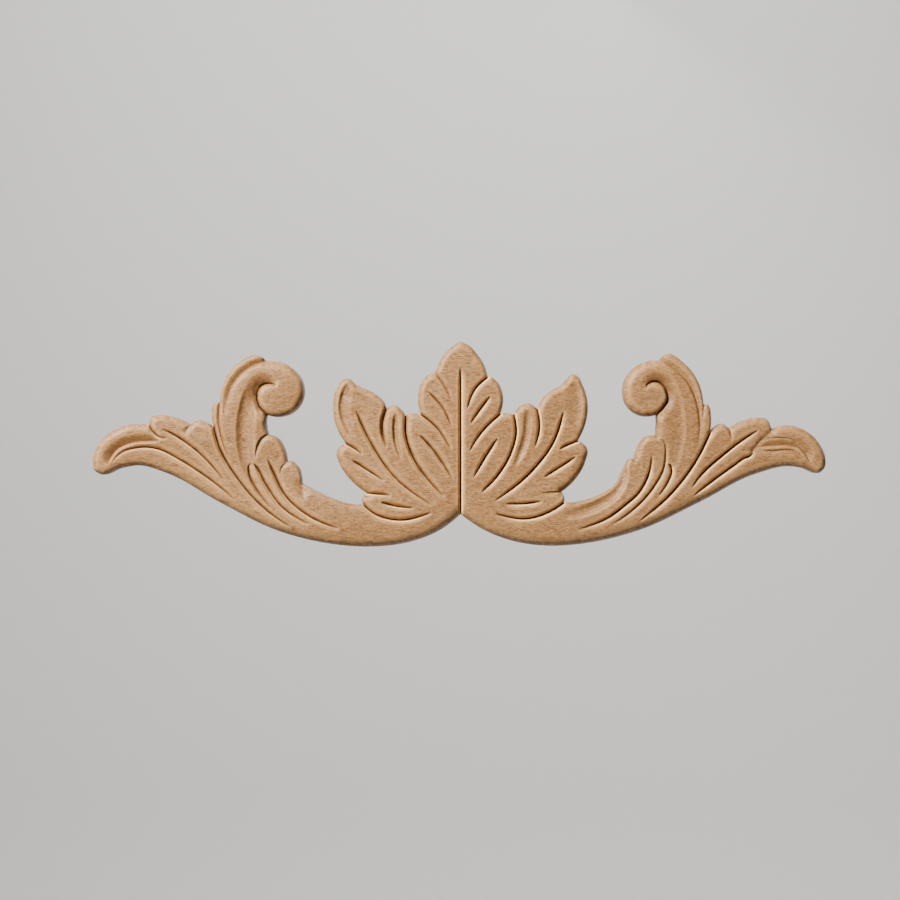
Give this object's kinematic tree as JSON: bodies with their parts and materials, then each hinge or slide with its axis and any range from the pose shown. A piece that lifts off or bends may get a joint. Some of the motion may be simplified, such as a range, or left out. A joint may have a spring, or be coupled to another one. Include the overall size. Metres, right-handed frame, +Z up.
{
  "type": "leaf applique",
  "caption": "Carved wooden centre applique: a lobed leaf between swept acanthus arms with inward volutes, flat back for fixing to furniture, a wall or a mantel.",
  "frame": {"origin": "on the flat back face, at the middle of the drawing's width and height, which is the centre of mount back", "axes": "+X along the length towards the viewer's right, +Y out of the flat back into the wall, +Z up; the carved front faces -Y"},
  "size_m": [0.2999, 0.012, 0.084],
  "materials": {
    "wood": "sanded bare pale hardwood, browned in the cuts"
  },
  "bodies": {
    "root": {"leaf_applique": "wood"}
  },
  "joints": []
}
